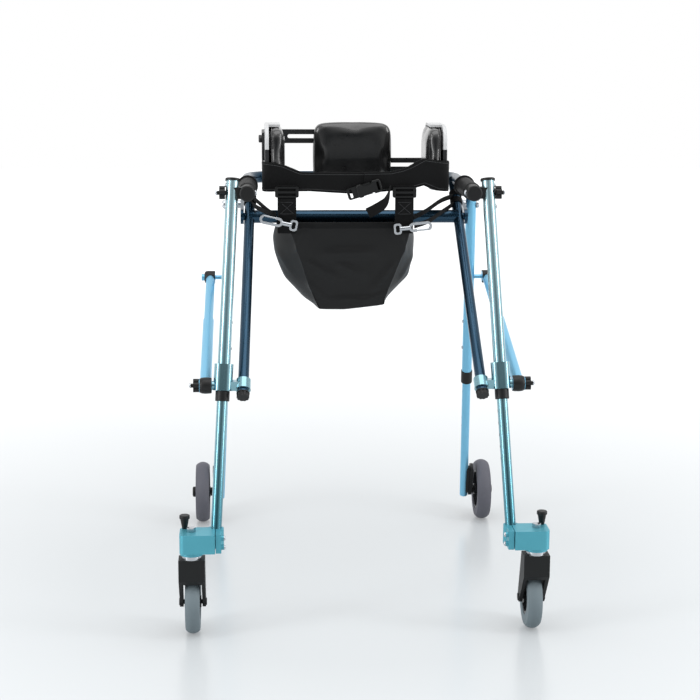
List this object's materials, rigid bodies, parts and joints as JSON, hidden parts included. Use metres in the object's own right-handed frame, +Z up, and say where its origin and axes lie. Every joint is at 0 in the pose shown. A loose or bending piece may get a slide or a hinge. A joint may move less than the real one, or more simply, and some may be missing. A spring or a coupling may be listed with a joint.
{
  "type": "reverse walker",
  "caption": "Folding tube-frame reverse walker on swivel front casters and fixed rear wheels, with hand grips, hip pads, belt and fabric sling seat.",
  "frame": {"origin": "on the floor at the middle of the footprint", "axes": "+Z up; -Y towards the open front where the swivel casters are; +Y towards the closed back; +X to the right as seen from the front"},
  "size_m": [0.6418, 0.789, 0.863],
  "materials": {
    "anodised_aqua": "polished, aqua anodised",
    "anodised_navy": "polished, dark blue anodised",
    "anodised_sky": "satin, light blue anodised",
    "bracket_aqua": "satin bead blasted and anodised",
    "zinc_steel": "zinc plated",
    "black_plastic": "moulded, fine texture",
    "fork_black": "glass filled nylon",
    "hub_black": "moulded nylon",
    "caster_rubber": "slate grey",
    "rear_rubber": "warm grey",
    "grip_rubber": "soft black",
    "pad_vinyl": "glossy black upholstery vinyl",
    "shell_grey": "light grey moulded",
    "webbing_black": "woven polyester webbing",
    "sling_cloth": "coated nylon cloth",
    "black_steel": "black powder coat"
  },
  "bodies": {
    "frame": {"handlebar": "anodised_navy", "handle_clamps": "black_plastic", "left_front_leg": "anodised_aqua", "right_front_leg": "anodised_aqua", "left_clamp_sleeve": "anodised_aqua", "right_clamp_sleeve": "anodised_aqua", "tube_plugs": "black_plastic", "left_brace": "anodised_navy", "right_brace": "anodised_navy", "rear_crossbar": "anodised_navy", "pivot_bolts": "zinc_steel", "left_grip": "grip_rubber", "right_grip": "grip_rubber", "pad_carrier": "black_plastic", "back_pad": "pad_vinyl", "belt": "webbing_black", "buckle": "black_plastic", "sling_seat": "sling_cloth", "seat_straps": "webbing_black", "snap_hooks": "zinc_steel"},
    "left_leg_extension": {"left_leg_extension": "anodised_aqua", "left_caster_bracket": "bracket_aqua"},
    "left_fork": {"left_caster_fork": "fork_black", "left_kingpin": "zinc_steel"},
    "left_caster_wheel": {"left_caster_tyre": "caster_rubber", "left_caster_hub": "hub_black"},
    "left_plunger": {"left_lock_plunger": "black_plastic"},
    "left_rear_leg": {"left_rear_leg": "anodised_sky", "left_rear_collar": "black_plastic"},
    "left_rear_extension": {"left_rear_leg_extension": "anodised_sky", "left_rear_bracket": "black_plastic"},
    "left_rear_wheel": {"left_rear_tyre": "rear_rubber", "left_rear_hub": "hub_black"},
    "left_strut_tube": {"left_strut_outer": "anodised_sky"},
    "left_strut_rod": {"left_strut_inner": "anodised_sky"},
    "left_strut_knob": {"left_strut_knob": "black_plastic"},
    "left_handle_knob": {"left_handle_knob": "black_plastic"},
    "left_hip_guide": {"left_hip_bar": "black_steel", "left_hip_shell": "shell_grey", "left_hip_pad": "pad_vinyl"},
    "right_leg_extension": {"right_leg_extension": "anodised_aqua", "right_caster_bracket": "bracket_aqua"},
    "right_fork": {"right_caster_fork": "fork_black", "right_kingpin": "zinc_steel"},
    "right_caster_wheel": {"right_caster_tyre": "caster_rubber", "right_caster_hub": "hub_black"},
    "right_plunger": {"right_lock_plunger": "black_plastic"},
    "right_rear_leg": {"right_rear_leg": "anodised_sky", "right_rear_collar": "black_plastic"},
    "right_rear_extension": {"right_rear_leg_extension": "anodised_sky", "right_rear_bracket": "black_plastic"},
    "right_rear_wheel": {"right_rear_tyre": "rear_rubber", "right_rear_hub": "hub_black"},
    "right_strut_tube": {"right_strut_outer": "anodised_sky"},
    "right_strut_rod": {"right_strut_inner": "anodised_sky"},
    "right_strut_knob": {"right_strut_knob": "black_plastic"},
    "right_handle_knob": {"right_handle_knob": "black_plastic"},
    "right_hip_guide": {"right_hip_bar": "black_steel", "right_hip_shell": "shell_grey", "right_hip_pad": "pad_vinyl"}
  },
  "joints": [
    {"name": "left_leg_height", "type": "slide", "parent": "frame", "child": "left_leg_extension", "axis": [0.0525, 0.2416, 0.969], "range_m": [0, 0.1]},
    {"name": "left_caster_swivel", "type": "hinge", "parent": "left_leg_extension", "child": "left_fork", "pos_m": [-0.29693, -0.369, 0.15], "axis": [0, 0, 1], "continuous": true},
    {"name": "left_caster_spin", "type": "hinge", "parent": "left_fork", "child": "left_caster_wheel", "pos_m": [-0.29693, -0.333, 0.055], "axis": [1, 0, 0], "continuous": true},
    {"name": "left_swivel_lock", "type": "slide", "parent": "left_leg_extension", "child": "left_plunger", "axis": [0, 0, 1], "range_m": [0, 0.007], "stiffness_N_per_m": 600, "springref_m": -0.006},
    {"name": "left_rear_leg_fold", "type": "hinge", "parent": "frame", "child": "left_rear_leg", "pos_m": [-0.231, 0.075, 0.705], "axis": [-1, 0, 0], "range_deg": [0, 44]},
    {"name": "left_rear_leg_height", "type": "slide", "parent": "left_rear_leg", "child": "left_rear_extension", "axis": [0.0429, -0.3703, 0.9279], "range_m": [0, 0.1]},
    {"name": "left_rear_wheel_spin", "type": "hinge", "parent": "left_rear_extension", "child": "left_rear_wheel", "pos_m": [-0.29837, 0.331, 0.0635], "axis": [1, 0, 0], "continuous": true},
    {"name": "left_strut_swing", "type": "hinge", "parent": "frame", "child": "left_strut_tube", "pos_m": [-0.2723, -0.2873, 0.43], "axis": [1, 0, 0], "range_deg": [0, 4.6]},
    {"name": "left_strut_slide", "type": "slide", "parent": "left_strut_tube", "child": "left_strut_rod", "axis": [0, 0.9588, 0.2839], "range_m": [-0.1175, 0]},
    {"name": "left_strut_knob_turn", "type": "hinge", "parent": "frame", "child": "left_strut_knob", "pos_m": [-0.2723, -0.2873, 0.43], "axis": [1, 0, 0], "continuous": true},
    {"name": "left_handle_knob_turn", "type": "hinge", "parent": "frame", "child": "left_handle_knob", "pos_m": [-0.2246, -0.20626, 0.755], "axis": [1, 0, 0], "continuous": true},
    {"name": "left_hip_guide_slide", "type": "slide", "parent": "frame", "child": "left_hip_guide", "axis": [1, 0, 0], "range_m": [-0.01, 0.035]},
    {"name": "right_leg_height", "type": "slide", "parent": "frame", "child": "right_leg_extension", "axis": [-0.0525, 0.2416, 0.969], "range_m": [0, 0.1]},
    {"name": "right_caster_swivel", "type": "hinge", "parent": "right_leg_extension", "child": "right_fork", "pos_m": [0.29693, -0.369, 0.15], "axis": [0, 0, 1], "continuous": true},
    {"name": "right_caster_spin", "type": "hinge", "parent": "right_fork", "child": "right_caster_wheel", "pos_m": [0.29693, -0.333, 0.055], "axis": [1, 0, 0], "continuous": true},
    {"name": "right_swivel_lock", "type": "slide", "parent": "right_leg_extension", "child": "right_plunger", "axis": [0, 0, 1], "range_m": [0, 0.007], "stiffness_N_per_m": 600, "springref_m": -0.006},
    {"name": "right_rear_leg_fold", "type": "hinge", "parent": "frame", "child": "right_rear_leg", "pos_m": [0.231, 0.075, 0.705], "axis": [-1, 0, 0], "range_deg": [0, 44]},
    {"name": "right_rear_leg_height", "type": "slide", "parent": "right_rear_leg", "child": "right_rear_extension", "axis": [-0.0429, -0.3703, 0.9279], "range_m": [0, 0.1]},
    {"name": "right_rear_wheel_spin", "type": "hinge", "parent": "right_rear_extension", "child": "right_rear_wheel", "pos_m": [0.29837, 0.331, 0.0635], "axis": [1, 0, 0], "continuous": true},
    {"name": "right_strut_swing", "type": "hinge", "parent": "frame", "child": "right_strut_tube", "pos_m": [0.2723, -0.2873, 0.43], "axis": [1, 0, 0], "range_deg": [0, 4.6]},
    {"name": "right_strut_slide", "type": "slide", "parent": "right_strut_tube", "child": "right_strut_rod", "axis": [0, 0.9588, 0.2839], "range_m": [-0.1175, 0]},
    {"name": "right_strut_knob_turn", "type": "hinge", "parent": "frame", "child": "right_strut_knob", "pos_m": [0.2723, -0.2873, 0.43], "axis": [1, 0, 0], "continuous": true},
    {"name": "right_handle_knob_turn", "type": "hinge", "parent": "frame", "child": "right_handle_knob", "pos_m": [0.2246, -0.20626, 0.755], "axis": [1, 0, 0], "continuous": true},
    {"name": "right_hip_guide_slide", "type": "slide", "parent": "frame", "child": "right_hip_guide", "axis": [-1, 0, 0], "range_m": [-0.01, 0.035]}
  ],
  "couplings": [
    {"joint": "left_strut_swing", "follows": "left_rear_leg_fold", "ratio": 0.10227},
    {"joint": "left_strut_slide", "follows": "left_rear_leg_fold", "m_per_rad": -0.1517},
    {"joint": "right_strut_swing", "follows": "right_rear_leg_fold", "ratio": 0.10227},
    {"joint": "right_strut_slide", "follows": "right_rear_leg_fold", "m_per_rad": -0.1517}
  ]
}
